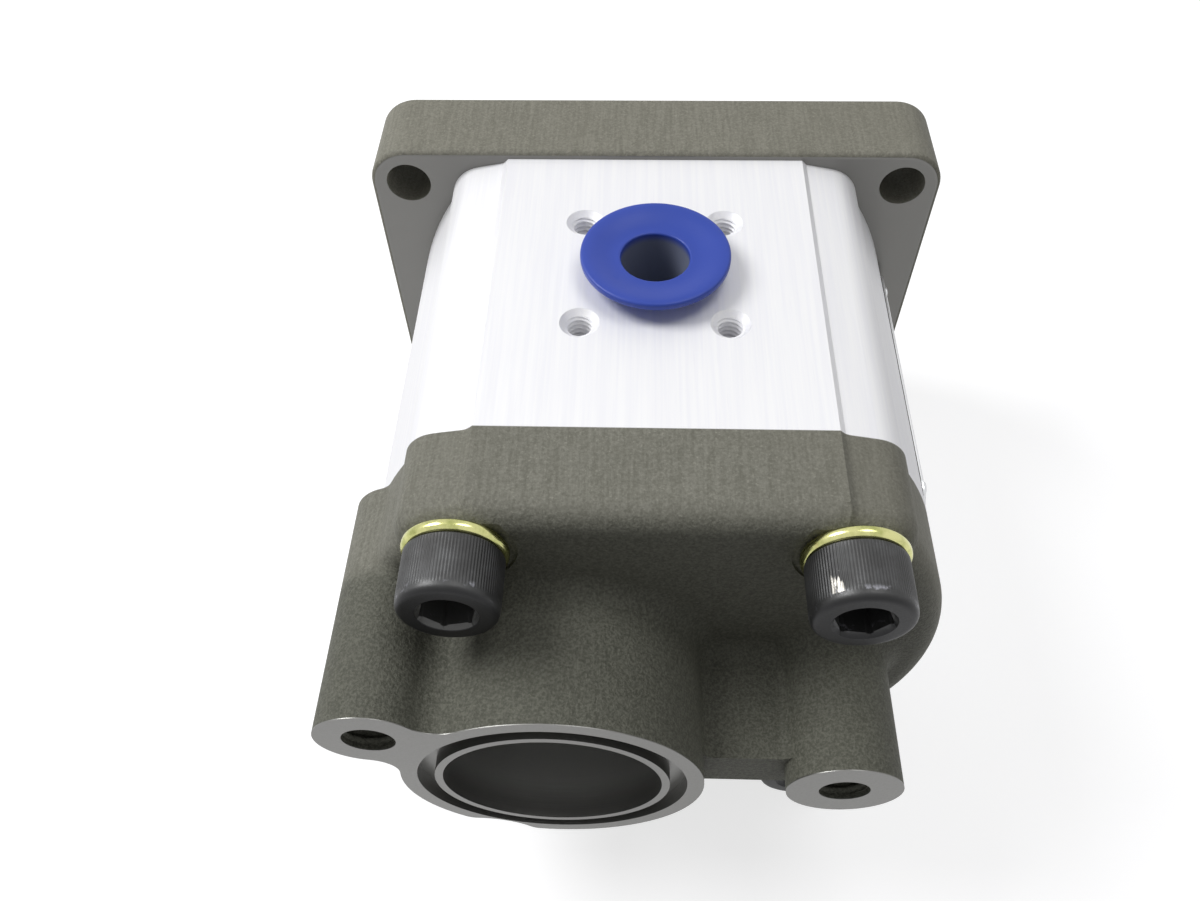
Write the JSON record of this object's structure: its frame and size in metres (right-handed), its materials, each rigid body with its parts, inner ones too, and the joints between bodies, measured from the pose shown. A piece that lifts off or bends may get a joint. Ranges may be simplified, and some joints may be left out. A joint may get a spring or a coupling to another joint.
{
  "type": "hydraulic gear pump",
  "caption": "External gear pump: iron mounting flange with pilot and taper shaft, aluminium body with a top pressure port, iron rear cover with an axial inlet neck.",
  "frame": {"origin": "drive shaft axis at the mounting face of the flange, which is the root of the pilot", "axes": "+Y out along the drive shaft, +Z towards the pressure port, driven gear towards -X"},
  "size_m": [0.1155, 0.1686, 0.0901],
  "materials": {
    "flange_iron": "phosphated cast iron, machined faces",
    "cover_iron": "phosphated rough cast iron, machined port face",
    "body_aluminium": "bare extruded and milled aluminium",
    "block_aluminium": "machined die cast",
    "bush_bronze": "bronze backed bearing strip",
    "bolt_black": "black oxide",
    "washer_zinc": "yellow zinc",
    "dowel_steel": "ground",
    "gear_steel": "case hardened and ground",
    "small_steel": "oiled",
    "nut_zinc": "bright zinc",
    "seal_rubber": "moulded",
    "backup_ptfe": "moulded",
    "plug_blue": "moulded gloss"
  },
  "bodies": {
    "housing": {"bearing_block_front": "block_aluminium", "bearing_block_rear": "block_aluminium", "bush_drive_front": "bush_bronze", "bush_drive_rear": "bush_bronze", "bush_driven_front": "bush_bronze", "bush_driven_rear": "bush_bronze", "cover_bolt_1": "bolt_black", "cover_bolt_2": "bolt_black", "cover_bolt_3": "bolt_black", "cover_bolt_4": "bolt_black", "dowel_left_front": "dowel_steel", "dowel_left_rear": "dowel_steel", "dowel_right_front": "dowel_steel", "dowel_right_rear": "dowel_steel", "face_seal_front": "seal_rubber", "face_seal_rear": "seal_rubber", "field_backup_front": "backup_ptfe", "field_backup_rear": "backup_ptfe", "field_seal_front": "seal_rubber", "field_seal_rear": "seal_rubber", "lock_washer_1": "washer_zinc", "lock_washer_2": "washer_zinc", "lock_washer_3": "washer_zinc", "lock_washer_4": "washer_zinc", "mounting_flange": "flange_iron", "pump_body": "body_aluminium", "rear_cover": "cover_iron", "seal_circlip": "small_steel", "seal_spring": "small_steel", "shaft_seal": "seal_rubber"},
    "drive_gear": {"drive_gear_shaft": "gear_steel", "shaft_key": "small_steel", "shaft_nut": "nut_zinc", "nut_washer": "nut_zinc"},
    "driven_gear": {"driven_gear_shaft": "gear_steel"},
    "plug": {"port_plug": "plug_blue"}
  },
  "joints": [
    {"name": "drive_spin", "type": "hinge", "parent": "housing", "child": "drive_gear", "pos_m": [0, 0, 0], "axis": [0, 1, 0], "continuous": true},
    {"name": "driven_spin", "type": "hinge", "parent": "housing", "child": "driven_gear", "pos_m": [-0.031, 0, 0], "axis": [0, 1, 0], "continuous": true},
    {"name": "plug_pull", "type": "slide", "parent": "housing", "child": "plug", "axis": [0, 0, 1], "range_m": [0, 0.012]}
  ],
  "couplings": [
    {"joint": "driven_spin", "follows": "drive_spin", "ratio": -1}
  ]
}
